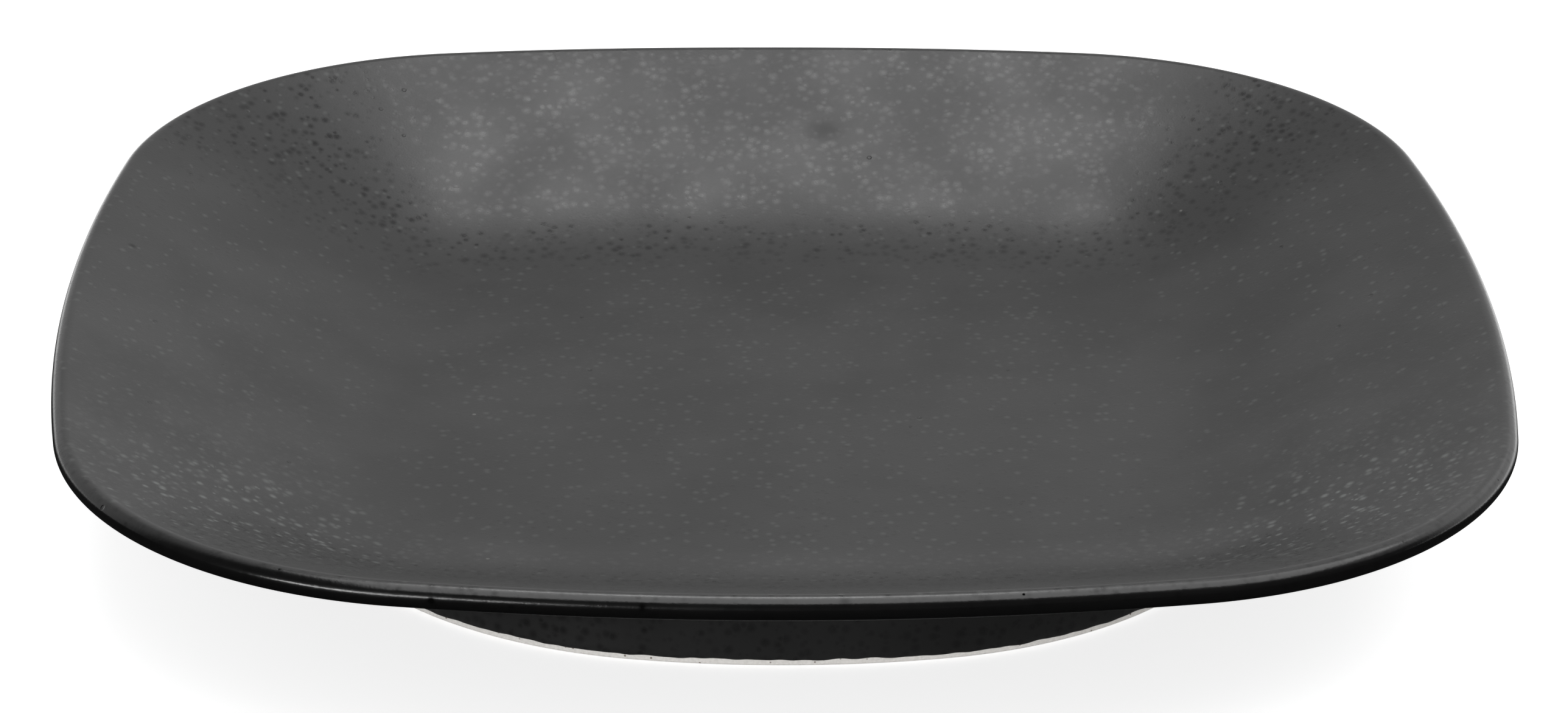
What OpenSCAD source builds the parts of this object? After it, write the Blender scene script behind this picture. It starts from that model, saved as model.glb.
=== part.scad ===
// Square dinner plate: a pressed stoneware dish on a luted foot ring, under a matte charcoal glaze.
// The origin lies on the table below the middle of the plate, with Z up and X and Y square to its sides.

/* [Plate] */
// Width across the middles of two opposite sides, glaze included
plate_width = 270; // [240:1:300]
// Height from the table to the top of the lip, at the middle of a side
plate_height = 34.9; // [28:0.1:40]
// How much higher the lip stands at the corners
corner_rise = 0.7; // [0:0.1:2]
// Radius of each gently bowed side, seen from above
side_bow_radius = 467; // [400:1:900]

/* [Well] */
// Width of the flat floor of the well
floor_width = 126; // [100:1:140]
// Radius at the corners of the flat floor
floor_corner_radius = 2; // [1:0.5:10]
// Radius of the curve that leads the floor into the wall
well_radius = 76; // [30:1:90]

/* [Shell] */
// Thickness of the floor, both coats of glaze included
floor_thickness = 5; // [4:0.1:7]
// Thickness of the rounded lip, glaze included
lip_thickness = 4.5; // [3:0.1:6]
// Thickness of each coat of glaze
glaze_thickness = 0.4; // [0.2:0.05:0.8]

/* [Foot ring] */
// Width of the clay ring across the middles of two opposite sides
foot_width = 180; // [160:1:200]
// Radius of the ring's bowed sides
foot_bow_radius = 154; // [130:1:250]
// Radius of the ring's corners
foot_corner_radius = 74; // [40:1:80]
// Thickness of the ring at its root, where it meets the dish
foot_thickness = 7; // [5:0.5:12]
// Thickness of the ring at the table
bearing_thickness = 4.6; // [3:0.1:5]
// Radius of the two edges of the bearing face
bearing_edge_radius = 0.6; // [0.4:0.1:0.8]
// Height of the wiped band of bare clay above the table
bare_band = 1.2; // [0.8:0.1:2]
// Depth of the recess inside the ring, from the table to the glazed underside
recess_depth = 5.7; // [3:0.1:8]

/* [Hidden] */
clay_color = "#c4c1ba";
glaze_color = "#4b4b4b";
// Steps along each bowed side, each corner, the well curve, the lip, the underside and the edge of the foot
side_steps = 8;
corner_steps = 12;
well_steps = 5;
lip_steps = 8;
under_steps = 3;
recess_steps = 3;
edge_steps = 3;
// Depth of clay that is ground off the foot
grinding = 1;
// How far in from the rim the underside starts to turn from the rim's outline into the foot's
wall_ring_share = 0.5;
// Width of the flat middle of the underside, as a share of the floor's width
core_share = 0.9;
// Largest well curve, as a share of the one that runs right into the lip
well_limit_share = 0.95;
floor_inset = (plate_width - floor_width) / 2;
rim_corner_radius = floor_inset + floor_corner_radius;
lip_radius = lip_thickness / 2;
lip_z = plate_height - lip_radius;
floor_z = recess_depth + floor_thickness;
// The well curve stays below the lip, also on a plate too small for its full radius
wall_run = floor_inset - lip_radius;
lip_rise = lip_z - floor_z;
lip_reach = max(lip_radius, floor_thickness - lip_radius);
well_limit = (wall_run * wall_run + lip_rise * lip_rise - lip_reach * lip_reach) / (lip_rise + lip_reach) / 2;
well_curve = min(well_radius, well_limit * well_limit_share);
well_z = floor_z + well_curve;
wall_ring_inset = (plate_width - foot_width) / 2 * wall_ring_share;
// The slopes of the wall's two faces, which touch both the well curve and the round of the lip
face_slope = tangent_slope(well_curve + lip_radius);
back_slope = tangent_slope(well_curve + floor_thickness - lip_radius);
lip_start = face_slope + 90;
lip_end = back_slope - 90;
// Each face of the shell is an arc about the centre of the well curve and its tangent: radius, slope
clay_back = [well_curve + floor_thickness - glaze_thickness, back_slope];
glaze_back = [well_curve + floor_thickness, back_slope];

function tangent_slope(reach) =
    let (drop = lip_z - well_z)
    atan2(drop, wall_run) + asin(reach / norm([wall_run, drop]));

function ray(angle) = [cos(angle), sin(angle)];

function turned(p, angle) = [
    p.x * cos(angle) - p.y * sin(angle),
    p.x * sin(angle) + p.y * cos(angle)
];

function mix(from, to, share) = from + (to - from) * share;

// A rounded square has four bowed sides and four corners, which touch where they meet.
// The corner arcs are centred at (c, c), and each side's arc turns this far to either hand.
function corner_centre(half, bow, corner) =
    let (side = half - bow)
    (side + sqrt(2 * pow(bow - corner, 2) - side * side)) / 2;

function side_turn(half, bow, corner) =
    let (c = corner_centre(half, bow, corner))
    atan2(c, c - half + bow);

// Points of a rounded square, drawn in by an inset
function outline(half, bow, corner, inset) =
    let (
        c = corner_centre(half, bow, corner),
        turn = side_turn(half, bow, corner),
        side = [for (i = [0 : side_steps - 1])
            [half - bow, 0] + (bow - inset) * ray(mix(-turn, turn, i / side_steps))],
        rounding = [for (i = [0 : corner_steps - 1])
            [c, c] + (corner - inset) * ray(mix(turn, 90 - turn, i / corner_steps))]
    )
    [for (quarter = [0 : 3], p = concat(side, rounding)) turned(p, 90 * quarter)];

function rim(inset) = outline(plate_width / 2, side_bow_radius, rim_corner_radius, inset);

function foot(inset) = outline(foot_width / 2, foot_bow_radius, foot_corner_radius, inset);

// How far a point of the plan lies in from the rim's edge
function rim_inset(p) =
    let (
        half = plate_width / 2,
        c = corner_centre(half, side_bow_radius, rim_corner_radius),
        q = [max(abs(p.x), abs(p.y)), min(abs(p.x), abs(p.y))],
        side = q - [half - side_bow_radius, 0]
    )
    atan2(side.y, side.x) < side_turn(half, side_bow_radius, rim_corner_radius)
    ? side_bow_radius - norm(side)
    : rim_corner_radius - norm(q - [c, c]);

// How far the shell is lifted at a point of the plan, most at the corners of the lip
function lift(p) =
    let (wall_share = max(0, 1 - rim_inset(p) / floor_inset), corner_share = 2 * p.x * p.y / (p * p))
    corner_rise * pow(wall_share * corner_share, 2);

// Height of a face of the shell over a point of the plan
function shell_z(p, face) =
    let (run = floor_inset - rim_inset(p), radius = face[0], slope = face[1])
    well_z + lift(p) + (
        run <= 0 ? -radius
        : run < radius * sin(slope) ? -sqrt(radius * radius - run * run)
        : run * tan(slope) - radius / cos(slope)
    );

function level(plan, z) = [for (p = plan) [p.x, p.y, z]];

function lifted(plan, z) = [for (p = plan) [p.x, p.y, z + lift(p)]];

function laid(plan, face) = [for (p = plan) [p.x, p.y, shell_z(p, face)]];

function reversed(list) = [for (i = [len(list) - 1 : -1 : 0]) list[i]];

// Rings of a surface that runs from the floor's edge up the wall and round the lip
function face_rings(curve_radius, edge_radius) = concat(
    [for (i = [0 : well_steps])
        let (a = face_slope * i / well_steps)
        lifted(rim(floor_inset - curve_radius * sin(a)), well_z - curve_radius * cos(a))],
    [for (i = [0 : lip_steps])
        let (a = mix(lip_start, lip_end, i / lip_steps))
        lifted(rim(lip_radius - edge_radius * cos(a)), lip_z + edge_radius * sin(a))]
);

// The last of those rings, where the underside begins
function lip_ring(edge_radius) =
    lifted(rim(lip_radius - edge_radius * cos(lip_end)), lip_z + edge_radius * sin(lip_end));

// Rings of the underside, from under the lip to the outline of the foot
function under_rings(face, foot_inset) = [for (i = [0 : under_steps])
    laid(mix(rim(wall_ring_inset), foot(foot_inset), i / under_steps), face)];

// Rings of the underside, from inside the foot to its flat middle
function recess_rings(face, foot_inset) = [for (i = [0 : recess_steps])
    laid(mix(foot(foot_inset), foot(0) * floor_width * core_share / foot_width, i / recess_steps), face)];

// Skins a pile of rings, and closes it with two flat caps or by joining its last ring to its first.
// Each patch is split along its shorter diagonal, so solids that share a surface share its facets.
module loft(rings, joined = false) {
    count = len(rings[0]);
    last = len(rings) - 1;
    points = [for (ring = rings) each ring];
    sides = [for (j = [0 : joined ? last : last - 1], i = [0 : count - 1])
        let (
            next = (i + 1) % count,
            near = j * count,
            far = (j == last ? 0 : j + 1) * count,
            a = near + i,
            b = near + next,
            c = far + next,
            d = far + i
        )
        each norm(points[a] - points[c]) < norm(points[b] - points[d])
        ? [[a, b, c], [a, c, d]]
        : [[a, b, d], [b, c, d]]];
    caps = joined ? [] : [
        [for (i = [count - 1 : -1 : 0]) i],
        [for (i = [0 : count - 1]) last * count + i]
    ];
    polyhedron(points, concat(sides, caps));
}

module clay_body() color(clay_color)
    loft(concat(
        face_rings(well_curve + glaze_thickness, lip_radius - glaze_thickness),
        under_rings(clay_back, 0),
        recess_rings(clay_back, foot_thickness)
    ));

// The ring runs on below the table, where it is ground off to leave one flat bearing face
module foot_ring() color(clay_color)
    difference() {
        loft(concat(
            [laid(foot(0), clay_back), level(foot(0), bare_band)],
            [for (i = [0 : edge_steps])
                let (a = 90 * i / edge_steps)
                level(foot(bearing_edge_radius * (1 - cos(a))), bearing_edge_radius * (1 - sin(a)))],
            [level(foot(bearing_edge_radius), -grinding)],
            [level(foot(bearing_thickness - bearing_edge_radius), -grinding)],
            [for (i = [0 : edge_steps])
                let (a = 90 * i / edge_steps, inset = bearing_thickness - bearing_edge_radius)
                level(foot(inset + bearing_edge_radius * sin(a)), bearing_edge_radius * (1 - cos(a)))],
            [level(foot(bearing_thickness), bare_band), laid(foot(foot_thickness), clay_back)]
        ), joined = true);
        translate([0, 0, -grinding]) linear_extrude(grinding) square(plate_width, center = true);
    }

module face_glaze() color(glaze_color)
    loft(concat(
        face_rings(well_curve, lip_radius),
        reversed(face_rings(well_curve + glaze_thickness, lip_radius - glaze_thickness))
    ));

module back_glaze() color(glaze_color)
    loft(concat(
        [lip_ring(lip_radius)],
        under_rings(glaze_back, -glaze_thickness),
        [level(foot(-glaze_thickness), bare_band), level(foot(0), bare_band)],
        reversed(under_rings(clay_back, 0)),
        [lip_ring(lip_radius - glaze_thickness)]
    ), joined = true);

module recess_glaze() color(glaze_color)
    loft(concat(
        reversed(recess_rings(clay_back, foot_thickness)),
        [level(foot(bearing_thickness), bare_band)],
        [level(foot(bearing_thickness + glaze_thickness), bare_band)],
        recess_rings(glaze_back, foot_thickness + glaze_thickness)
    ));

clay_body();
foot_ring();
face_glaze();
back_glaze();
recess_glaze();
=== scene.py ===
"""Square dinner plate in matte charcoal glaze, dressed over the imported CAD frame. Lengths are in metres."""

import math

import bpy
import numpy as np
from mathutils import Matrix, Vector, noise


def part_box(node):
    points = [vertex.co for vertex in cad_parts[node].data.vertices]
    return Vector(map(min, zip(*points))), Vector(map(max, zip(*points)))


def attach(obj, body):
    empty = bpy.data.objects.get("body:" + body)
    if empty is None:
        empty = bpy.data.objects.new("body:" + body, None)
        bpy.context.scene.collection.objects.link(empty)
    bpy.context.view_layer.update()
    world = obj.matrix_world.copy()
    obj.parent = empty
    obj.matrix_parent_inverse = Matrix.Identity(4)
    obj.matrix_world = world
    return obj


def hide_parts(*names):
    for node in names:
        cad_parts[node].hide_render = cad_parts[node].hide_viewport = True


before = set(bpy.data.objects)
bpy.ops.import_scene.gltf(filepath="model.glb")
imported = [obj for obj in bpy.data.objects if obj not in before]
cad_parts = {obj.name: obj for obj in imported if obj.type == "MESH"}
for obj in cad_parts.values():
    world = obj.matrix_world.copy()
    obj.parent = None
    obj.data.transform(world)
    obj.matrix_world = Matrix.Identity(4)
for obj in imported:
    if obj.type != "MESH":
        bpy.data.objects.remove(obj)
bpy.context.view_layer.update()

MM = 0.001
RIGHT_ANGLE = math.pi / 2

# Sizes of the plate, as in the CAD source
PLATE_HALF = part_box("face_glaze")[1].x
PLATE_HEIGHT = 34.9 * MM
CORNER_RISE = 0.7 * MM
SIDE_BOW_RADIUS = 467 * MM
FLOOR_HALF = 63 * MM
FLOOR_CORNER_RADIUS = 2 * MM
WELL_RADIUS = 76 * MM
FLOOR_THICKNESS = 5 * MM
LIP_RADIUS = 2.25 * MM
GLAZE_THICKNESS = 0.4 * MM
FOOT_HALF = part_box("foot_ring")[1].x
FOOT_BOW_RADIUS = 154 * MM
FOOT_CORNER_RADIUS = 74 * MM
FOOT_THICKNESS = 7 * MM
BEARING_THICKNESS = 4.6 * MM
BEARING_EDGE_RADIUS = 0.6 * MM
BARE_BAND = 1.2 * MM
RECESS_DEPTH = 5.7 * MM
# Share of the way from rim to foot after which the underside turns from the one outline into the other
WALL_RING_SHARE = 0.5

FLOOR_INSET = PLATE_HALF - FLOOR_HALF
RIM_CORNER_RADIUS = FLOOR_INSET + FLOOR_CORNER_RADIUS
LIP_Z = PLATE_HEIGHT - LIP_RADIUS
WELL_Z = RECESS_DEPTH + FLOOR_THICKNESS + WELL_RADIUS
WALL_RING_INSET = (PLATE_HALF - FOOT_HALF) * WALL_RING_SHARE

# How finely the smooth meshes are divided along each side and corner of an outline
SIDE_STEPS = 84
CORNER_STEPS = 96
# Rings across the floor, well, wall and lip, on the face that shows and on the one against the clay
FACE_STEPS = (16, 18, 10, 26)
HIDDEN_FACE_STEPS = (2, 6, 2, 8)
# Rings across the underside, the recess and the foot
UNDER_LIP_STEPS = 7
UNDER_STEPS = 16
RECESS_STEPS = 16
HIDDEN_STEPS = 6
FILLET_STEPS = 6
EDGE_STEPS = 6
BEARING_STEPS = 4

# Places of single rings: the first one under the lip, one above the bare band, those down the foot's walls
UNDER_LIP_INSET = 4 * MM
FOOT_RING_Z = 2.4 * MM
OUTER_WALL_SHARES = (0.35, 0.65, 0.85)
INNER_WALL_SHARES = (0.5, 0.8)
SHARP_ANGLE = math.radians(50)

# Slight waves and dimples of the glaze
WAVE_LENGTH = 34 * MM
WAVE_DEPTH = 0.02 * MM
DIMPLE_LENGTH = 7 * MM
DIMPLE_DEPTH = 0.012 * MM
# The round where the glaze meets the foot, and the ragged line to which the foot was wiped
FOOT_FILLET_RADIUS = 1.6 * MM
RAGGED_LENGTHS = (50 * MM, 9 * MM, 3 * MM)
RAGGED_DEPTHS = (0.4 * MM, 0.5 * MM, 0.5 * MM)
RAGGED_DROP = 0.65 * MM
# The rolled edge of the glaze at that line: shares of the roll's height, and of the coat's thickness there
ROLL_HEIGHT = 0.4 * MM
ROLL_SHARES = ((1.0, 1.0), (0.5, 0.9), (0.2, 0.7), (0.05, 0.4), (0.0, 0.1))
# Seeds of the noises, and how far each seed moves its noise along the axes
WAVE_SEED = 1
DIMPLE_SEED = 2
BACK_LINE_SEED = 3
RECESS_LINE_SEED = 4
SEED_SHIFT = (17.3, 5.1, 9.7)
# Least length that a normal is divided by
TINY = 1e-12


def tangent_slope(reach):
    """Slope of a face of the wall that touches both the well curve and the round of the lip."""
    run = FLOOR_INSET - LIP_RADIUS
    drop = LIP_Z - WELL_Z
    return math.atan2(drop, run) + math.asin(reach / math.hypot(run, drop))


FACE_SLOPE = tangent_slope(WELL_RADIUS + LIP_RADIUS)
BACK_SLOPE = tangent_slope(WELL_RADIUS + FLOOR_THICKNESS - LIP_RADIUS)
# Angles at which the round of the lip starts and ends
LIP_START = FACE_SLOPE + RIGHT_ANGLE
LIP_END = BACK_SLOPE - RIGHT_ANGLE
# Each face of the underside is an arc about the centre of the well curve and its tangent: radius, slope
GLAZE_BACK = (WELL_RADIUS + FLOOR_THICKNESS, BACK_SLOPE)
CLAY_BACK = (WELL_RADIUS + FLOOR_THICKNESS - GLAZE_THICKNESS, BACK_SLOPE)


# Outlines and rings

def corner_centre(half, bow, corner):
    """Place on the diagonal about which a corner of a rounded square is drawn."""
    side = half - bow
    return (side + math.sqrt(2 * (bow - corner) ** 2 - side * side)) / 2


def side_turn(half, bow, corner):
    """Angle by which a bowed side turns to either hand of its middle."""
    c = corner_centre(half, bow, corner)
    return math.atan2(c, c - half + bow)


def arc(centre_x, centre_y, radius, start, end, steps):
    """Points of an arc, without its last one."""
    angles = np.linspace(start, end, steps, endpoint=False)
    return np.stack([centre_x + radius * np.cos(angles), centre_y + radius * np.sin(angles)], 1)


def outline(half, bow, corner, inset):
    """Points of a rounded square with bowed sides, drawn in by an inset."""
    c = corner_centre(half, bow, corner)
    turn = side_turn(half, bow, corner)
    side = arc(half - bow, 0, bow - inset, -turn, turn, SIDE_STEPS)
    rounding = arc(c, c, corner - inset, turn, RIGHT_ANGLE - turn, CORNER_STEPS)
    quarters = [np.concatenate([side, rounding])]
    for _ in range(3):
        x, y = quarters[-1].T
        quarters.append(np.stack([-y, x], 1))
    return np.concatenate(quarters)


def rim(inset):
    return outline(PLATE_HALF, SIDE_BOW_RADIUS, RIM_CORNER_RADIUS, inset)


def foot(inset):
    return outline(FOOT_HALF, FOOT_BOW_RADIUS, FOOT_CORNER_RADIUS, inset)


def rim_inset(plan):
    """How far each point of the plan lies in from the rim's edge."""
    c = corner_centre(PLATE_HALF, SIDE_BOW_RADIUS, RIM_CORNER_RADIUS)
    turn = side_turn(PLATE_HALF, SIDE_BOW_RADIUS, RIM_CORNER_RADIUS)
    q = np.sort(np.abs(plan), axis=1)[:, ::-1]
    side = q - [PLATE_HALF - SIDE_BOW_RADIUS, 0]
    on_side = np.arctan2(side[:, 1], side[:, 0]) < turn
    from_side = SIDE_BOW_RADIUS - np.linalg.norm(side, axis=1)
    from_corner = RIM_CORNER_RADIUS - np.linalg.norm(q - c, axis=1)
    return np.where(on_side, from_side, from_corner)


def lift(plan):
    """How far the shell is lifted at each point of the plan, most at the corners of the lip."""
    wall_share = np.clip(1 - rim_inset(plan) / FLOOR_INSET, 0, None)
    corner_share = 2 * plan[:, 0] * plan[:, 1] / (plan ** 2).sum(axis=1)
    return CORNER_RISE * (wall_share * corner_share) ** 2


def shell_z(plan, face):
    """Height of a face of the shell over each point of the plan."""
    radius, slope = face
    run = FLOOR_INSET - rim_inset(plan)
    curve = -np.sqrt(np.maximum(radius ** 2 - np.clip(run, 0, None) ** 2, 0))
    straight = run * math.tan(slope) - radius / math.cos(slope)
    return WELL_Z + lift(plan) + np.where(run < radius * math.sin(slope), curve, straight)


def level(plan, z):
    """A ring over a plan, at one height or at a height for each point."""
    return np.column_stack([plan, np.broadcast_to(z, len(plan))])


def lifted(plan, z):
    """A ring that rises with the corners of the shell."""
    return level(plan, z + lift(plan))


def laid(plan, face, drop=0.0):
    """A ring that lies on a face of the shell, or a drop below it."""
    return level(plan, shell_z(plan, face) - drop)


def mixed(near, far, steps):
    """Plans that turn from one outline into another."""
    return [near + (far - near) * i / steps for i in range(steps + 1)]


def lip_ring(edge_radius, angle):
    """A ring on the round of the lip."""
    plan = rim(LIP_RADIUS - edge_radius * math.cos(angle))
    return lifted(plan, LIP_Z + edge_radius * math.sin(angle))


def face_rings(curve_radius, edge_radius, steps):
    """Rings from near the middle of the floor out, up the wall and round the lip."""
    floor_steps, well_steps, wall_steps, lip_steps = steps
    edge = rim(FLOOR_INSET)
    rings = [level(edge * i / floor_steps, WELL_Z - curve_radius) for i in range(1, floor_steps)]
    for a in np.linspace(0, FACE_SLOPE, well_steps + 1):
        plan = rim(FLOOR_INSET - curve_radius * math.sin(a))
        rings.append(lifted(plan, WELL_Z - curve_radius * math.cos(a)))
    wall_start = FLOOR_INSET - curve_radius * math.sin(FACE_SLOPE)
    wall_end = LIP_RADIUS - edge_radius * math.cos(LIP_START)
    wall_z = WELL_Z - curve_radius * math.cos(FACE_SLOPE)
    for inset in np.linspace(wall_start, wall_end, wall_steps + 1)[1:-1]:
        rings.append(lifted(rim(inset), wall_z + (wall_start - inset) * math.tan(FACE_SLOPE)))
    for a in np.linspace(LIP_START, LIP_END, lip_steps + 1):
        rings.append(lip_ring(edge_radius, a))
    return rings


def fillet_rings(wall_inset, outward):
    """Rings of the round between the glazed underside and the foot's outer (1) or inner (-1) wall."""
    rings = []
    for t in np.linspace(0, RIGHT_ANGLE, FILLET_STEPS + 1)[1:]:
        away = outward * FOOT_FILLET_RADIUS * (1 - math.sin(t))
        drop = FOOT_FILLET_RADIUS * (1 - math.cos(t))
        rings.append(laid(foot(wall_inset - away), GLAZE_BACK, drop))
    return rings


def inner_wall_ring(z, out):
    """A ring along the leaning inner face of the foot, at a height for each point, some way off the clay."""
    root_z = shell_z(foot(FOOT_THICKNESS), CLAY_BACK)
    share = ((z - BARE_BAND) / (root_z - BARE_BAND))[:, None]
    top = foot(FOOT_THICKNESS + out)
    bottom = foot(BEARING_THICKNESS + out)
    return np.column_stack([bottom + (top - bottom) * share, z])


# Small irregularities

def cloud(points, length, seed):
    """Smooth noise from -1 to 1 at each point."""
    shift = Vector([seed * step for step in SEED_SHIFT])
    return np.array([noise.noise(Vector(p) / length + shift) for p in points])


def sunken(points, length, depth, seed):
    """How far a noise sinks each point, from nothing to the full depth."""
    return depth * (cloud(points, length, seed) + 1) / 2


def ragged(ring, seed):
    """Height of the wiped glaze line round the foot."""
    line = np.zeros(len(ring))
    for length, depth in zip(RAGGED_LENGTHS, RAGGED_DEPTHS):
        line += sunken(ring, length, depth, seed)
    return BARE_BAND - RAGGED_DROP + line


def relief(rings):
    """Sinks a glazed surface by the slight waves and dimples of its coat, along its own normals."""
    grid = np.array(rings)
    around = np.roll(grid, -1, axis=1) - np.roll(grid, 1, axis=1)
    across = np.gradient(grid, axis=0)
    normal = np.cross(around, across)
    normal /= np.maximum(np.linalg.norm(normal, axis=2, keepdims=True), TINY)
    flat = grid.reshape(-1, 3)
    waves = sunken(flat, WAVE_LENGTH, WAVE_DEPTH, WAVE_SEED)
    dimples = sunken(flat, DIMPLE_LENGTH, DIMPLE_DEPTH, DIMPLE_SEED)
    sunk = flat + normal.reshape(-1, 3) * (waves + dimples)[:, None]
    return list(sunk.reshape(grid.shape))


# Meshes

def skin(rings, joined):
    """Points and faces of a pile of rings, closed by two fans or by joining the last ring to the first."""
    count = len(rings[0])
    last = len(rings) - 1
    points = list(np.concatenate(rings))
    faces = []
    for j in range(last + 1 if joined else last):
        near = j * count
        far = (j + 1) % (last + 1) * count
        for i in range(count):
            n = (i + 1) % count
            faces.append((near + i, far + i, far + n, near + n))
    if not joined:
        for ring, first in ((0, True), (last, False)):
            middle = len(points)
            points.append(rings[ring].mean(axis=0))
            for i in range(count):
                a = ring * count + i
                b = ring * count + (i + 1) % count
                faces.append((middle, a, b) if first else (middle, b, a))
    return points, faces


def mesh_piece(name, points, faces, material, node):
    """A smooth piece that stands for a CAD node."""
    mesh = bpy.data.meshes.new(name)
    mesh.from_pydata([tuple(p) for p in points], [], faces)
    mesh.validate()
    mesh.shade_smooth()
    mesh.set_sharp_from_angle(angle=SHARP_ANGLE)
    mesh.materials.append(material)
    piece = bpy.data.objects.new(name, mesh)
    bpy.context.scene.collection.objects.link(piece)
    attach(piece, "root")
    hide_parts(node)


# Node helpers

def nodes_of(name):
    """A new material, its node tree and its shader."""
    material = bpy.data.materials.new(name)
    material.use_nodes = True
    tree = material.node_tree
    return material, tree, tree.nodes["Principled BSDF"]


def add(tree, kind, **settings):
    """A new node, with values for its inputs or for its own settings."""
    node = tree.nodes.new(kind)
    for key, value in settings.items():
        if key in node.inputs:
            node.inputs[key].default_value = value
        else:
            setattr(node, key, value)
    return node


def link(tree, out, into):
    tree.links.new(out, into)


def calc(tree, operation, a, b):
    """A calculation with two outputs or numbers."""
    node = add(tree, "ShaderNodeMath", operation=operation)
    for socket, value in zip(node.inputs, (a, b)):
        if isinstance(value, (int, float)):
            socket.default_value = value
        else:
            link(tree, value, socket)
    return node.outputs[0]


def ramp(tree, value, start, end, low=0.0, high=1.0):
    """A smooth step from a low to a high number."""
    node = add(tree, "ShaderNodeMapRange", interpolation_type="SMOOTHSTEP")
    link(tree, value, node.inputs["Value"])
    for name, number in (("From Min", start), ("From Max", end), ("To Min", low), ("To Max", high)):
        node.inputs[name].default_value = number
    return node.outputs["Result"]


def tint(tree, factor, under, over):
    """A colour that goes from one to another by a factor."""
    node = add(tree, "ShaderNodeMix", data_type="RGBA")
    link(tree, factor, node.inputs["Factor"])
    for socket, colour in ((node.inputs["A"], under), (node.inputs["B"], over)):
        if isinstance(colour, tuple):
            socket.default_value = (*colour, 1)
        else:
            link(tree, colour, socket)
    return node.outputs["Result"]


def bump(tree, height, depth):
    node = add(tree, "ShaderNodeBump", Distance=depth)
    link(tree, height, node.inputs["Height"])
    return node.outputs["Normal"]


def millimetres(tree):
    """Places on the object, counted in millimetres."""
    place = add(tree, "ShaderNodeTexCoord")
    scaled = add(tree, "ShaderNodeVectorMath", operation="SCALE", Scale=1 / MM)
    link(tree, place.outputs["Object"], scaled.inputs[0])
    return scaled.outputs[0]


def height_of(tree, vector):
    split = add(tree, "ShaderNodeSeparateXYZ")
    link(tree, vector, split.inputs[0])
    return split.outputs["Z"]


def mottle(tree, place, size, detail=2.0):
    """Soft noise with patches of about that size in millimetres."""
    node = add(tree, "ShaderNodeTexNoise", Scale=1 / size, Detail=detail)
    link(tree, place, node.inputs["Vector"])
    return node.outputs["Fac"]


def spots(tree, place, spacing, radius, shift, core=0.45, smallest=1.0):
    """Scattered round spots of mixed sizes, one inside a share of their radius and zero outside."""
    moved = add(tree, "ShaderNodeVectorMath", operation="ADD")
    link(tree, place, moved.inputs[0])
    moved.inputs[1].default_value = shift
    cells = add(tree, "ShaderNodeTexVoronoi", Scale=1 / spacing)
    link(tree, moved.outputs[0], cells.inputs["Vector"])
    # Each cell's random colour gives its spot a size
    size = ramp(tree, height_of(tree, cells.outputs["Color"]), 0.0, 1.0, smallest, 1.0)
    away = calc(tree, "DIVIDE", cells.outputs["Distance"], size)
    return ramp(tree, away, core * radius / spacing, radius / spacing, 1.0, 0.0)


# How uneven the outline of a patch is, and where it fades, as shares of its radius
PATCH_UNEVEN = 0.8
PATCH_EDGE_SHARES = (0.5, 1.5)


def patch(tree, place, uneven, centre, radius):
    """One soft patch at a place in millimetres, with an outline made uneven by a noise."""
    away = add(tree, "ShaderNodeVectorMath", operation="DISTANCE")
    link(tree, place, away.inputs[0])
    away.inputs[1].default_value = centre
    edge = calc(tree, "ADD", away.outputs["Value"], calc(tree, "MULTIPLY", uneven, PATCH_UNEVEN * radius))
    start, end = PATCH_EDGE_SHARES
    return ramp(tree, edge, start * radius, end * radius, 1.0, 0.0)


# Charcoal glaze

GLAZE_DARK = (0.006, 0.006, 0.006)
GLAZE_PALE = (0.01, 0.01, 0.01)
# Painted shade: the outer face of the lip is darkened in colour to near black
LIP_SHADE_COLOUR = (0.0015, 0.0015, 0.0015)
# Painted highlight: colour of the pale flecks that stand for glints
GLINT_COLOUR = (0.105, 0.111, 0.107)
SCUFF_COLOUR = (0.09, 0.09, 0.085)
# Painted shade: the pinholes are darkened in colour
PIT_SHADE_COLOUR = (0.004, 0.004, 0.004)
GLAZE_IOR = 1.6
# Roughness of the glaze, its drift, and how much smoother the glassy spots and the lip are
GLAZE_ROUGHNESS = 0.4
DRIFT_ROUGHNESS = 0.025
SPOT_GLOSS = 0.17
LIP_GLOSS = 0.18
# Specular levels of the matte glaze, its glassy spots and the thin glaze round the lip
GLAZE_SHINE = 0.5
SPOT_SHINE = 0.3
LIP_SHINE = 0.6
# Where the lip's glaze runs thin and glossier, and where its outer face is painted dark as shade: how far the
# surface leans outwards, and its height in millimetres
LIP_LEAN = (0.05, 0.45)
LIP_HEIGHTS = (22.0, 26.0)
# Sizes of the soft noises in millimetres, and the stretch of a noise over which it takes effect
DRIFT_SIZE = 22.0
CLUSTER_SIZE = 14.0
UNEVEN_SIZE = 5.0
GRAIN_SIZE = 0.45
DRIFT_RANGE = (0.3, 0.7)
CLUSTER_RANGE = (0.35, 0.62)
# Strength of the glassy spots outside the clusters, and of the fine ones
LOOSE_STRENGTH = 0.6
FINE_STRENGTH = 0.5
# Depth of the grain, and of the pits and proud spots as multiples of it
GRAIN_DEPTH = 0.018 * MM
PIT_DEPTH = 4.0
SPOT_HEIGHT = 0.5
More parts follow.
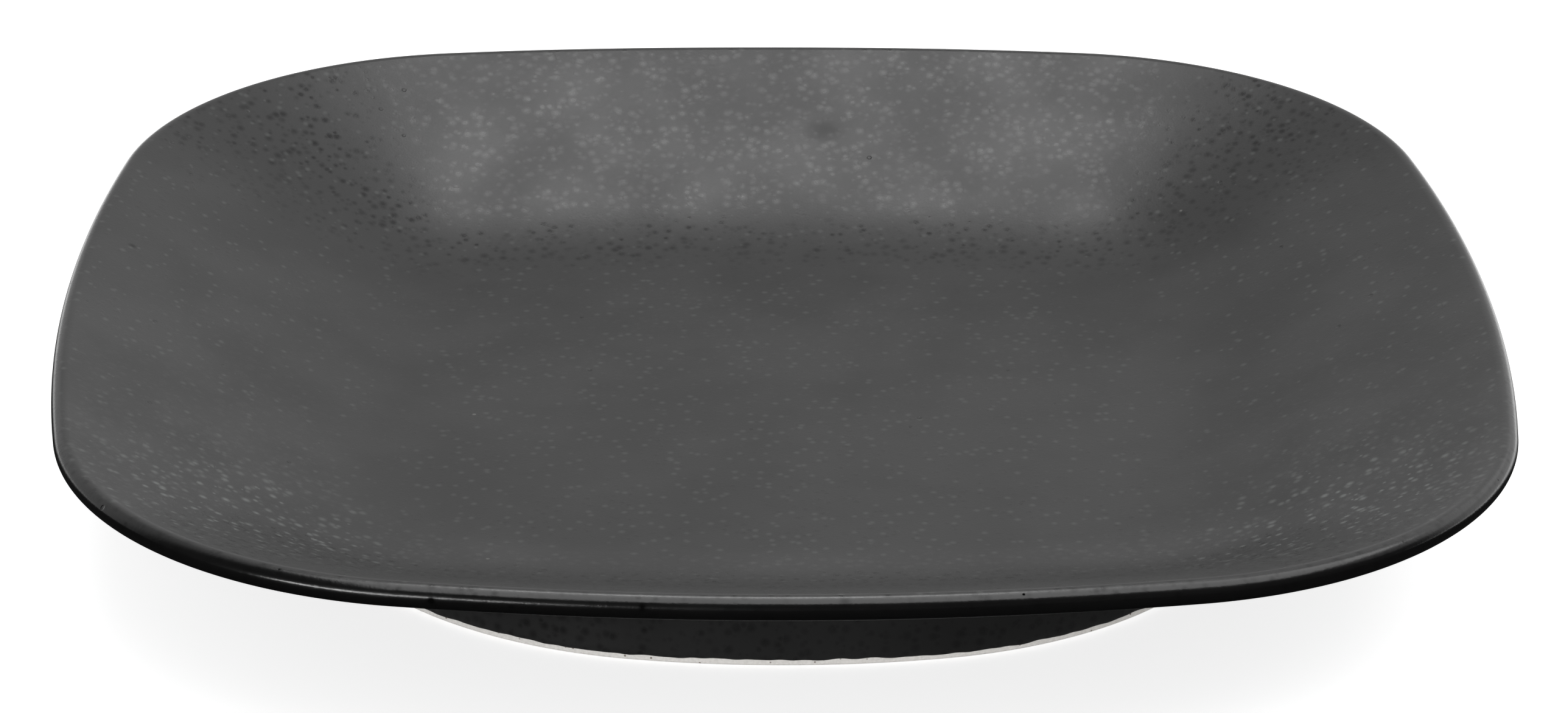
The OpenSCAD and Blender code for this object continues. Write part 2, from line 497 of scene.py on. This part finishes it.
# Spacing and largest radius of the spots in millimetres, and the shift that sets each pattern apart
GLASSY_SPOTS = dict(spacing=2.2, radius=1.45, shift=(3, 7, 1), core=0.1, smallest=0.55)
FINE_SPOTS = dict(spacing=1.7, radius=0.8, shift=(11, 2, 5), core=0.1, smallest=0.4)
LOOSE_GLINTS = dict(spacing=2.4, radius=0.95, shift=(6, 4, 13), core=0.1, smallest=0.2)
DENSE_GLINTS = dict(spacing=2.0, radius=1.2, shift=(9, 12, 3), core=0.1, smallest=0.25)
LIP_CHIPS = dict(spacing=4.5, radius=1.0, shift=(2, 14, 7), core=0.4, smallest=0.2)
PITS = dict(spacing=13.0, radius=0.6, shift=(1, 5, 9))
SCUFFS = dict(spacing=17.0, radius=0.5, shift=(8, 3, 2))
# Painted glints: pale flecks that stand for light caught by tiny bumps, fainter on the floor than up the wall
# and missing on the foot, by heights in millimetres
GLINT_HEIGHTS = (11.0, 20.0)
FOOT_HEIGHTS = (8.5, 10.0)
FLOOR_GLINTS = 0.25
WALL_GLINTS = 0.3
# Two front corners where the painted glints gather, in millimetres
GLINT_CORNERS = ((-98, -78, 22), (98, -78, 22))
GLINT_CORNER_RADIUS = 42.0
# Matte smudges on the face: place in millimetres, radius and added roughness
SMUDGES = (
    ((12, 110, 25), 4.5, 0.09),
    ((89, 66, 19), 10, 0.06),
    ((80, 63, 15), 9, 0.06),
    ((-125, 28, 32), 1.3, 0.3),
)


def lip_gloss_and_shade_mask(tree, place):
    """One on the outer half of the lip, where the surface faces away from the plate's middle; there the lip
    is glossier and painted dark as shade.
    """
    facing = add(tree, "ShaderNodeTexCoord").outputs["Normal"]
    flat = add(tree, "ShaderNodeVectorMath", operation="MULTIPLY")
    flat.inputs[1].default_value = (1, 1, 0)
    link(tree, place, flat.inputs[0])
    outward = add(tree, "ShaderNodeVectorMath", operation="NORMALIZE")
    link(tree, flat.outputs[0], outward.inputs[0])
    lean = add(tree, "ShaderNodeVectorMath", operation="DOT_PRODUCT")
    link(tree, facing, lean.inputs[0])
    link(tree, outward.outputs[0], lean.inputs[1])
    high = ramp(tree, height_of(tree, place), *LIP_HEIGHTS)
    return calc(tree, "MULTIPLY", ramp(tree, lean.outputs["Value"], *LIP_LEAN), high)


def glassy_spots(tree, place):
    """Glassy spots, strongest in clusters, with fine ones between them."""
    clusters = ramp(tree, mottle(tree, place, CLUSTER_SIZE), *CLUSTER_RANGE, LOOSE_STRENGTH, 1.0)
    large = calc(tree, "MULTIPLY", spots(tree, place, **GLASSY_SPOTS), clusters)
    fine = calc(tree, "MULTIPLY", spots(tree, place, **FINE_SPOTS), FINE_STRENGTH)
    return calc(tree, "MAXIMUM", large, fine)


def painted_glints(tree, place, uneven):
    """Pale flecks painted as glints of light caught by tiny bumps, thinly scattered over the plate and
    gathered in two of its corners.
    """
    height = height_of(tree, place)
    strength = ramp(tree, height, *GLINT_HEIGHTS, FLOOR_GLINTS, WALL_GLINTS)
    strength = calc(tree, "MULTIPLY", strength, ramp(tree, height, *FOOT_HEIGHTS))
    loose = calc(tree, "MULTIPLY", spots(tree, place, **LOOSE_GLINTS), strength)
    left, right = (patch(tree, place, uneven, centre, GLINT_CORNER_RADIUS) for centre in GLINT_CORNERS)
    corners = calc(tree, "MAXIMUM", left, right)
    dense = calc(tree, "MULTIPLY", spots(tree, place, **DENSE_GLINTS), corners)
    return calc(tree, "MAXIMUM", loose, dense)


def glaze_shine(tree, place, glassy, lip):
    """Specular level: lower in the glassy spots, higher round the lip and gone where it is chipped."""
    shine = calc(tree, "ADD", calc(tree, "MULTIPLY", glassy, SPOT_SHINE - GLAZE_SHINE), GLAZE_SHINE)
    shine = calc(tree, "ADD", calc(tree, "MULTIPLY", lip, LIP_SHINE - GLAZE_SHINE), shine)
    chips = calc(tree, "MULTIPLY", spots(tree, place, **LIP_CHIPS), lip)
    return calc(tree, "MULTIPLY", shine, calc(tree, "SUBTRACT", 1.0, chips))


def glaze_roughness(tree, place, drift, uneven, glassy, lip):
    """Roughness: drifting over the plate, higher in the smudges, lower in glassy spots and on the lip."""
    roughest = GLAZE_ROUGHNESS + DRIFT_ROUGHNESS
    smoothest = GLAZE_ROUGHNESS - DRIFT_ROUGHNESS
    rough = ramp(tree, drift, *DRIFT_RANGE, roughest, smoothest)
    for centre, radius, matte in SMUDGES:
        smudge = patch(tree, place, uneven, centre, radius)
        rough = calc(tree, "ADD", rough, calc(tree, "MULTIPLY", smudge, matte))
    spot_gloss = calc(tree, "MULTIPLY", glassy, SPOT_GLOSS)
    lip_gloss = calc(tree, "MULTIPLY", lip, LIP_GLOSS)
    return calc(tree, "SUBTRACT", rough, calc(tree, "MAXIMUM", spot_gloss, lip_gloss))


def glaze_material():
    """A matte charcoal glaze with glassy spots, pale flecks painted as glints, grain, pinholes with painted
    shade in them, scuffs and a thin, chipped lip whose outer face is painted dark as shade.
    """
    material, tree, shader = nodes_of("charcoal_glaze")
    place = millimetres(tree)
    drift = mottle(tree, place, DRIFT_SIZE)
    uneven = mottle(tree, place, UNEVEN_SIZE)
    glassy = glassy_spots(tree, place)
    pits = spots(tree, place, **PITS)
    lip = lip_gloss_and_shade_mask(tree, place)
    colour = tint(tree, ramp(tree, drift, *DRIFT_RANGE), GLAZE_DARK, GLAZE_PALE)
    # Painted highlight: pale flecks painted in as glints
    colour = tint(tree, painted_glints(tree, place, uneven), colour, GLINT_COLOUR)
    colour = tint(tree, spots(tree, place, **SCUFFS), colour, SCUFF_COLOUR)
    # Painted shade: darker colour in the pinholes
    colour = tint(tree, pits, colour, PIT_SHADE_COLOUR)
    # Painted shade: the lip's outer face takes the near-black colour
    link(tree, tint(tree, lip, colour, LIP_SHADE_COLOUR), shader.inputs["Base Color"])
    link(tree, glaze_shine(tree, place, glassy, lip), shader.inputs["Specular IOR Level"])
    link(tree, glaze_roughness(tree, place, drift, uneven, glassy, lip), shader.inputs["Roughness"])
    grain = mottle(tree, place, GRAIN_SIZE)
    height = calc(tree, "SUBTRACT", grain, calc(tree, "MULTIPLY", pits, PIT_DEPTH))
    height = calc(tree, "ADD", height, calc(tree, "MULTIPLY", glassy, SPOT_HEIGHT))
    link(tree, bump(tree, height, GRAIN_DEPTH), shader.inputs["Normal"])
    shader.inputs["IOR"].default_value = GLAZE_IOR
    return material


# Bare stoneware

CLAY_PALE = (0.82, 0.80, 0.77)
CLAY_GREY = (0.72, 0.70, 0.67)
GROG_COLOUR = (0.22, 0.19, 0.16)
CLAY_SHINE = 0.3
# Roughness of the grey and of the pale grit
GREY_ROUGHNESS = 0.95
PALE_ROUGHNESS = 0.8
# Grit and dark grog, with sizes in millimetres and the grit's depth in metres
GRIT_SIZE = 0.6
GRIT_DETAIL = 6.0
GRIT_RANGE = (0.3, 0.7)
GRIT_DEPTH = 0.06 * MM
GROG = dict(spacing=1.6, radius=0.3, shift=(4, 1, 6))


def clay_material():
    """Bare stoneware: pale, gritty and matte."""
    material, tree, shader = nodes_of("stoneware")
    place = millimetres(tree)
    grit = mottle(tree, place, GRIT_SIZE, GRIT_DETAIL)
    colour = tint(tree, ramp(tree, grit, *GRIT_RANGE), CLAY_GREY, CLAY_PALE)
    colour = tint(tree, spots(tree, place, **GROG), colour, GROG_COLOUR)
    link(tree, colour, shader.inputs["Base Color"])
    rough = ramp(tree, grit, *GRIT_RANGE, GREY_ROUGHNESS, PALE_ROUGHNESS)
    link(tree, rough, shader.inputs["Roughness"])
    link(tree, bump(tree, grit, GRIT_DEPTH), shader.inputs["Normal"])
    shader.inputs["Specular IOR Level"].default_value = CLAY_SHINE
    return material


GLAZE = glaze_material()
CLAY = clay_material()


# Pieces of the plate

def face_coat():
    """The glaze over the eating face and round the lip."""
    outer = relief(face_rings(WELL_RADIUS, LIP_RADIUS, FACE_STEPS))
    inner = face_rings(WELL_RADIUS + GLAZE_THICKNESS, LIP_RADIUS - GLAZE_THICKNESS, HIDDEN_FACE_STEPS)
    points, faces = skin(outer + inner[::-1], joined=False)
    mesh_piece("face_coat", points, faces, GLAZE, "face_glaze")


def back_coat():
    """The glaze under the wall and down the outside of the foot, to the wiped line."""
    outer = [lip_ring(LIP_RADIUS, LIP_END)]
    for inset in np.linspace(UNDER_LIP_INSET, WALL_RING_INSET, UNDER_LIP_STEPS + 1)[:-1]:
        outer.append(laid(rim(inset), GLAZE_BACK))
    foot_of_wall = foot(-GLAZE_THICKNESS - FOOT_FILLET_RADIUS)
    for plan in mixed(rim(WALL_RING_INSET), foot_of_wall, UNDER_STEPS):
        outer.append(laid(plan, GLAZE_BACK))
    outer = relief(outer + fillet_rings(-GLAZE_THICKNESS, 1))
    line = ragged(level(foot(0), 0), BACK_LINE_SEED)
    start = outer[-1]
    for share in OUTER_WALL_SHARES:
        outer.append(level(start[:, :2], start[:, 2] + (line + ROLL_HEIGHT - start[:, 2]) * share))
    for rise, cover in ROLL_SHARES:
        outer.append(level(foot(-GLAZE_THICKNESS * cover), line + ROLL_HEIGHT * rise))
    inner = [lip_ring(LIP_RADIUS - GLAZE_THICKNESS, LIP_END)]
    for plan in mixed(rim(WALL_RING_INSET), foot(0), HIDDEN_STEPS):
        inner.append(laid(plan, CLAY_BACK))
    inner.append(level(foot(0), line))
    points, faces = skin(outer + inner[::-1], joined=True)
    mesh_piece("back_coat", points, faces, GLAZE, "back_glaze")


def recess_coat():
    """The glaze on the underside inside the foot and down the foot's inner face, to the wiped line."""
    wall_inset = FOOT_THICKNESS + GLAZE_THICKNESS
    edge = foot(wall_inset + FOOT_FILLET_RADIUS)
    outer = [laid(edge * i / RECESS_STEPS, GLAZE_BACK) for i in range(1, RECESS_STEPS + 1)]
    outer += fillet_rings(wall_inset, -1)
    # These rings run outwards over an underside, so they are turned round to sink into the coat
    outer = relief(outer[::-1])[::-1]
    line = ragged(level(foot(BEARING_THICKNESS), 0), RECESS_LINE_SEED)
    start = outer[-1][:, 2]
    for share in INNER_WALL_SHARES:
        outer.append(inner_wall_ring(start + (line + ROLL_HEIGHT - start) * share, GLAZE_THICKNESS))
    for rise, cover in ROLL_SHARES:
        outer.append(inner_wall_ring(line + ROLL_HEIGHT * rise, GLAZE_THICKNESS * cover))
    root = foot(FOOT_THICKNESS)
    inner = [laid(root * i / HIDDEN_STEPS, CLAY_BACK) for i in range(1, HIDDEN_STEPS + 1)]
    inner.append(inner_wall_ring(line, 0.0))
    points, faces = skin(outer + inner[::-1], joined=False)
    # For the same reason the faces are turned to look outwards
    faces = [face[::-1] for face in faces]
    mesh_piece("recess_coat", points, faces, GLAZE, "recess_glaze")


def foot_clay():
    """The clay foot ring, bare along its rounded bearing edge."""
    edge = BEARING_EDGE_RADIUS
    inner_edge = BEARING_THICKNESS - edge
    quarter = np.linspace(0, RIGHT_ANGLE, EDGE_STEPS + 1)
    rings = [laid(foot(0), CLAY_BACK), level(foot(0), FOOT_RING_Z), level(foot(0), BARE_BAND)]
    for a in quarter:
        rings.append(level(foot(edge * (1 - math.cos(a))), edge * (1 - math.sin(a))))
    for inset in np.linspace(edge, inner_edge, BEARING_STEPS + 1)[1:-1]:
        rings.append(level(foot(inset), 0))
    for a in quarter:
        rings.append(level(foot(inner_edge + edge * math.sin(a)), edge * (1 - math.cos(a))))
    rings += [level(foot(BEARING_THICKNESS), BARE_BAND), laid(foot(FOOT_THICKNESS), CLAY_BACK)]
    points, faces = skin(rings, joined=True)
    mesh_piece("foot_clay", points, faces, CLAY, "foot_ring")


def clay_body():
    """The CAD node of the dish, which no view shows, with the clay's material."""
    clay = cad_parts["clay_body"]
    clay.data.materials.clear()
    clay.data.materials.append(CLAY)


# Camera, at the place that was fitted to the plate's silhouette, with lengths in the image in pixels
CAMERA_DISTANCE = 965.05 * MM
CAMERA_ELEVATION = 0.4113
CAMERA_AZIMUTH = 0.0272
CAMERA_ROLL = 0.0091
CAMERA_TARGET_DROP = 15 * MM
CAMERA_TARGET = Vector((0, 0, LIP_Z - CAMERA_TARGET_DROP))
CAMERA_NEAREST = 50 * MM
FOCAL_LENGTH = 8305
IMAGE_OFFSET = (-8.81, 22.36)
IMAGE_WIDTH = 2576
# Width of the camera's sensor, in millimetres
SENSOR_WIDTH = 36


def make_camera():
    data = bpy.data.cameras.new("camera")
    data.sensor_fit = "HORIZONTAL"
    data.sensor_width = SENSOR_WIDTH
    data.lens = SENSOR_WIDTH * FOCAL_LENGTH / IMAGE_WIDTH
    data.shift_x = -IMAGE_OFFSET[0] / IMAGE_WIDTH
    data.shift_y = IMAGE_OFFSET[1] / IMAGE_WIDTH
    data.clip_start = CAMERA_NEAREST
    camera = bpy.data.objects.new("camera", data)
    bpy.context.scene.collection.objects.link(camera)
    flat = CAMERA_DISTANCE * math.cos(CAMERA_ELEVATION)
    place = CAMERA_TARGET + Vector((
        -flat * math.sin(CAMERA_AZIMUTH),
        -flat * math.cos(CAMERA_AZIMUTH),
        CAMERA_DISTANCE * math.sin(CAMERA_ELEVATION),
    ))
    aim = (CAMERA_TARGET - place).to_track_quat("-Z", "Y").to_matrix().to_4x4()
    camera.matrix_world = Matrix.Translation(place) @ aim @ Matrix.Rotation(CAMERA_ROLL, 4, "Z")
    bpy.context.scene.camera = camera


# Floor
FLOOR_REACH = 4.0
FLOOR_GAP = 0.05 * MM
# The floor is open inside the foot, where no view from above can see it, to light the underside
FLOOR_HOLE_INSET = 0.6 * MM
# Colour of the lit floor, and the glow that brings it to white where it is shown
FLOOR_ALBEDO = 0.7
FLOOR_TOP_UP = 0.74
# Painted dark reflection: in gloss only, the floor is painted dark in front of the plate, and under the plate
# it shows its own shade
FRONT_EDGE = (195 * MM, 35 * MM)
FRONT_SLANT = 0.2
PAINTED_FRONT_REFLECTION = 0.02
UNDER_RADIUS = (125 * MM, 95 * MM)


def shown_directly(tree):
    """One for rays that show the background to the eye, directly, in gloss or through glass."""
    path = add(tree, "ShaderNodeLightPath").outputs
    shown = calc(tree, "MAXIMUM", path["Is Camera Ray"], path["Is Glossy Ray"])
    return calc(tree, "MAXIMUM", shown, path["Is Transmission Ray"])


def see_through_from_below(tree, shader):
    """Lets views from below look through the floor."""
    clear = add(tree, "ShaderNodeBsdfTransparent")
    geometry = add(tree, "ShaderNodeNewGeometry")
    sided = add(tree, "ShaderNodeMixShader")
    link(tree, geometry.outputs["Backfacing"], sided.inputs[0])
    link(tree, shader.outputs[0], sided.inputs[1])
    link(tree, clear.outputs[0], sided.inputs[2])
    link(tree, sided.outputs[0], tree.nodes["Material Output"].inputs["Surface"])


def floor_material():
    """A pale floor that keeps the plate's shadow, topped up to white where it is shown, and painted dark in
    front of the plate in gloss only, as a painted dark reflection.
    """
    material, tree, shader = nodes_of("floor_white")
    shader.inputs["Roughness"].default_value = 1.0
    shader.inputs["Specular IOR Level"].default_value = 0.0
    place = add(tree, "ShaderNodeTexCoord").outputs["Object"]
    along = add(tree, "ShaderNodeSeparateXYZ")
    link(tree, place, along.inputs[0])
    slant = calc(tree, "MULTIPLY", along.outputs["X"], FRONT_SLANT)
    front = ramp(tree, calc(tree, "ADD", along.outputs["Y"], slant), *FRONT_EDGE)
    away = add(tree, "ShaderNodeVectorMath", operation="LENGTH")
    link(tree, place, away.inputs[0])
    under = ramp(tree, away.outputs["Value"], *UNDER_RADIUS)
    in_gloss = add(tree, "ShaderNodeLightPath").outputs["Is Glossy Ray"]
    # Painted dark reflection: the floor in front of the plate turns dark for glossy rays only
    dark = calc(tree, "MULTIPLY", calc(tree, "SUBTRACT", front, under), in_gloss)
    shaded = calc(tree, "MULTIPLY", calc(tree, "MAXIMUM", front, under), in_gloss)
    colour = tint(tree, dark, (FLOOR_ALBEDO,) * 3, (PAINTED_FRONT_REFLECTION,) * 3)
    link(tree, colour, shader.inputs["Base Color"])
    shown = calc(tree, "SUBTRACT", shown_directly(tree), shaded)
    shader.inputs["Emission Color"].default_value = (1, 1, 1, 1)
    link(tree, calc(tree, "MULTIPLY", shown, FLOOR_TOP_UP), shader.inputs["Emission Strength"])
    see_through_from_below(tree, shader)
    return material


def make_floor():
    mesh = bpy.data.meshes.new("floor")
    hole = level(foot(FLOOR_HOLE_INSET), -FLOOR_GAP)
    edge = level(hole[:, :2] * FLOOR_REACH / FOOT_HALF, -FLOOR_GAP)
    count = len(hole)
    ring = [(i, count + i, count + (i + 1) % count, (i + 1) % count) for i in range(count)]
    mesh.from_pydata([tuple(p) for p in np.concatenate([hole, edge])], [], ring)
    mesh.materials.append(floor_material())
    floor = bpy.data.objects.new("floor", mesh)
    bpy.context.scene.collection.objects.link(floor)


# Studio: how much the world lights, and the levels of the backdrop, its upper part and the room in gloss
WORLD_FILL = 0.5
BACKDROP_LEVEL = 0.645
UPPER_LEVEL = 0.48
ROOM_LEVEL = 0.045
# Where the backdrop fades upwards and forwards, by the direction seen, and how much it brightens to the right
BACKDROP_TOP = (0.45, 0.72)
BACKDROP_FRONT = (-0.1, 0.4)
BACKDROP_TILT = 0.35
# Soft lamps: place, target, two sides and radiance
LAMPS = {
    "back_strip": ((0, 0.7015, 1.5), (0, 0.7015, 0), (0.436, 0.369), 5.8),
    "roof": ((0.475, -0.3415, 1.5), (0.475, -0.3415, 0), (2.05, 1.717), 1.59),
    "right_card": ((0.936, 0.341, 0.836), (0, 0, 0), (1.8, 0.66), 0.3),
    "side_strip": ((-0.84, -1.38, 0.24), (-0.05, -0.13, 0.03), (1.0, 0.16), 12.0),
    "front_fill": ((0, -0.9, 0.12), (0, -0.09, 0), (1.6, 0.2), 3.6),
}
UNSEEN_IN_GLOSS = ("front_fill",)


def make_world():
    """A white backdrop, which gloss sees graded behind the plate and dim on the camera's side."""
    world = bpy.data.worlds.new("studio")
    world.use_nodes = True
    tree = world.node_tree
    background = tree.nodes["Background"]
    background.inputs["Color"].default_value = (1, 1, 1, 1)
    place = add(tree, "ShaderNodeTexCoord")
    towards = add(tree, "ShaderNodeSeparateXYZ")
    link(tree, place.outputs["Generated"], towards.inputs[0])
    card = ramp(tree, towards.outputs["Z"], *BACKDROP_TOP, BACKDROP_LEVEL, UPPER_LEVEL)
    tilt = calc(tree, "ADD", calc(tree, "MULTIPLY", towards.outputs["X"], BACKDROP_TILT), 1.0)
    behind = ramp(tree, towards.outputs["Y"], *BACKDROP_FRONT)
    room = calc(tree, "MULTIPLY", calc(tree, "MULTIPLY", card, tilt), behind)
    room = calc(tree, "MAXIMUM", room, ROOM_LEVEL)
    camera_ray = add(tree, "ShaderNodeLightPath").outputs["Is Camera Ray"]
    room = calc(tree, "MAXIMUM", room, camera_ray)
    shown = shown_directly(tree)
    seen = calc(tree, "MULTIPLY", room, shown)
    felt = calc(tree, "MULTIPLY", calc(tree, "SUBTRACT", 1.0, shown), WORLD_FILL)
    link(tree, calc(tree, "ADD", seen, felt), background.inputs["Strength"])
    bpy.context.scene.world = world


def area_light(name, place, target, size, radiance):
    """A rectangular lamp that the camera doesn't see."""
    data = bpy.data.lights.new(name, "AREA")
    data.shape = "RECTANGLE"
    width, depth = size
    data.size = width
    data.size_y = depth
    data.energy = radiance * math.pi * width * depth
    light = bpy.data.objects.new(name, data)
    bpy.context.scene.collection.objects.link(light)
    aim = (Vector(target) - Vector(place)).to_track_quat("-Z", "Y")
    light.matrix_world = Matrix.Translation(place) @ aim.to_matrix().to_4x4()
    light.visible_camera = False
    light.visible_glossy = name not in UNSEEN_IN_GLOSS


face_coat()
back_coat()
recess_coat()
foot_clay()
clay_body()
make_camera()
make_floor()
make_world()
for lamp, settings in LAMPS.items():
    area_light(lamp, *settings)
bpy.context.scene.view_settings.view_transform = "Standard"
